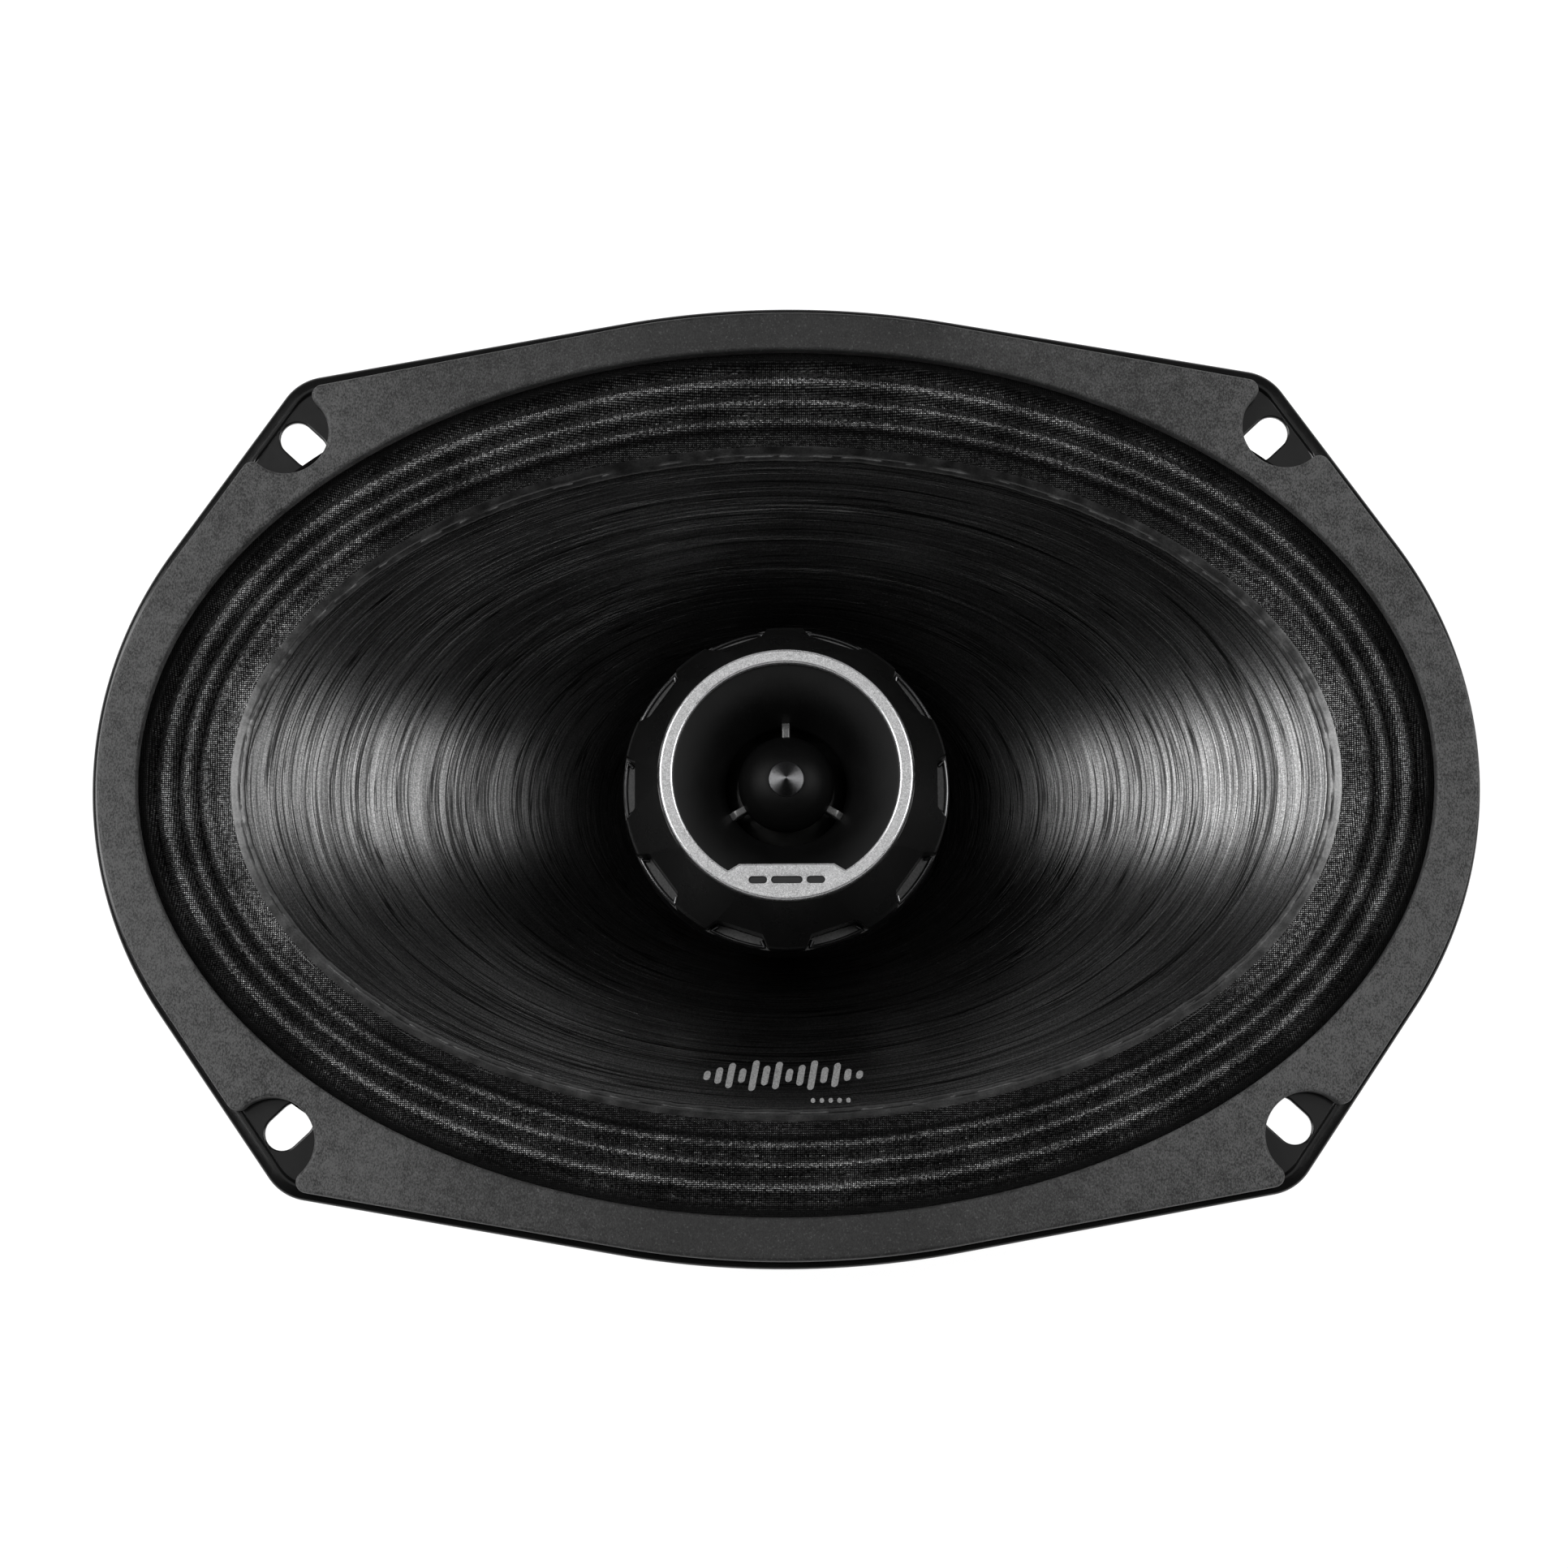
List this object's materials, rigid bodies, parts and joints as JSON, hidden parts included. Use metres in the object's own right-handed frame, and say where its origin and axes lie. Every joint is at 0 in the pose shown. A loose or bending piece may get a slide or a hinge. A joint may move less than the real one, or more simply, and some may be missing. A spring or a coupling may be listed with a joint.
{
  "type": "coaxial car speaker",
  "caption": "Oval two-way coaxial car loudspeaker with a cloth-edged cone, a central horn tweeter on a post, a pressed steel basket and a ring magnet.",
  "frame": {"origin": "centre of the flange's rear mounting plane, on the speaker's axis", "axes": "+Z along the axis out of the front, +X along the long side of the oval, +Y across it; the terminals are on the -Y side"},
  "size_m": [0.237, 0.1666, 0.0905],
  "materials": {
    "black_steel": "gloss black paint on pressed steel",
    "foam": "matte dark grey pressed foam gasket",
    "woven_cloth": "black coated woven cloth",
    "cone_paper": "black coated paper with brushed circular streaks, satin",
    "former_kapton": "amber film former",
    "copper_wire": "enamelled copper wire",
    "spider_cloth": "impregnated yellow woven cloth",
    "braid": "braided tinsel wire",
    "zinc_steel": "zinc plated steel",
    "ferrite": "dark ground ceramic magnet",
    "boot_rubber": "moulded black rubber",
    "black_plastic": "satin black moulded plastic",
    "silver_trim": "fine grained silver finish with polished edges",
    "tip_metal": "turned metal tip",
    "dome_film": "thin metallised dome",
    "nickel": "nickel plating",
    "phenolic": "brown laminated board",
    "gold_plate": "gold plated blade",
    "cap_film": "dark blue film wrap",
    "lead_sleeve": "black insulated wire"
  },
  "bodies": {
    "frame": {"basket": "black_steel", "gasket": "foam", "surround": "woven_cloth", "spider": "spider_cloth", "tinsel_leads": "braid", "top_plate": "zinc_steel", "ring_magnet": "ferrite", "back_plate": "zinc_steel", "magnet_boot": "boot_rubber", "basket_rivets": "zinc_steel", "tweeter_post": "zinc_steel", "post_nut": "zinc_steel", "post_washer": "zinc_steel", "tweeter_housing": "black_plastic", "horn_flare": "black_plastic", "bezel_ring": "silver_trim", "phase_plug": "black_plastic", "phase_plug_tip": "tip_metal", "diaphragm_ring": "black_plastic", "tweeter_pole_plate": "zinc_steel", "tweeter_magnet": "nickel", "tweeter_yoke": "zinc_steel", "tweeter_back_cover": "black_plastic", "housing_screws": "zinc_steel", "tweeter_leads": "lead_sleeve", "terminal_board": "phenolic", "terminal_positive": "gold_plate", "terminal_negative": "nickel", "terminal_rivets": "nickel", "crossover_capacitor": "cap_film", "capacitor_clip": "zinc_steel", "clip_rivet": "zinc_steel", "capacitor_leads": "nickel"},
    "cone_body": {"cone": "cone_paper", "voice_coil_former": "former_kapton", "voice_coil_winding": "copper_wire", "cone_eyelets": "nickel"},
    "tweeter_dome": {"tweeter_diaphragm": "dome_film", "tweeter_coil": "copper_wire"}
  },
  "joints": [
    {"name": "cone_slide", "type": "slide", "parent": "frame", "child": "cone_body", "axis": [0, 0, 1], "range_m": [-0.005, 0.005], "stiffness_N_per_m": 1500, "deforming": ["surround", "spider", "tinsel_leads"]},
    {"name": "tweeter_slide", "type": "slide", "parent": "frame", "child": "tweeter_dome", "axis": [0, 0, 1], "range_m": [-0.0003, 0.0003], "stiffness_N_per_m": 1500}
  ]
}
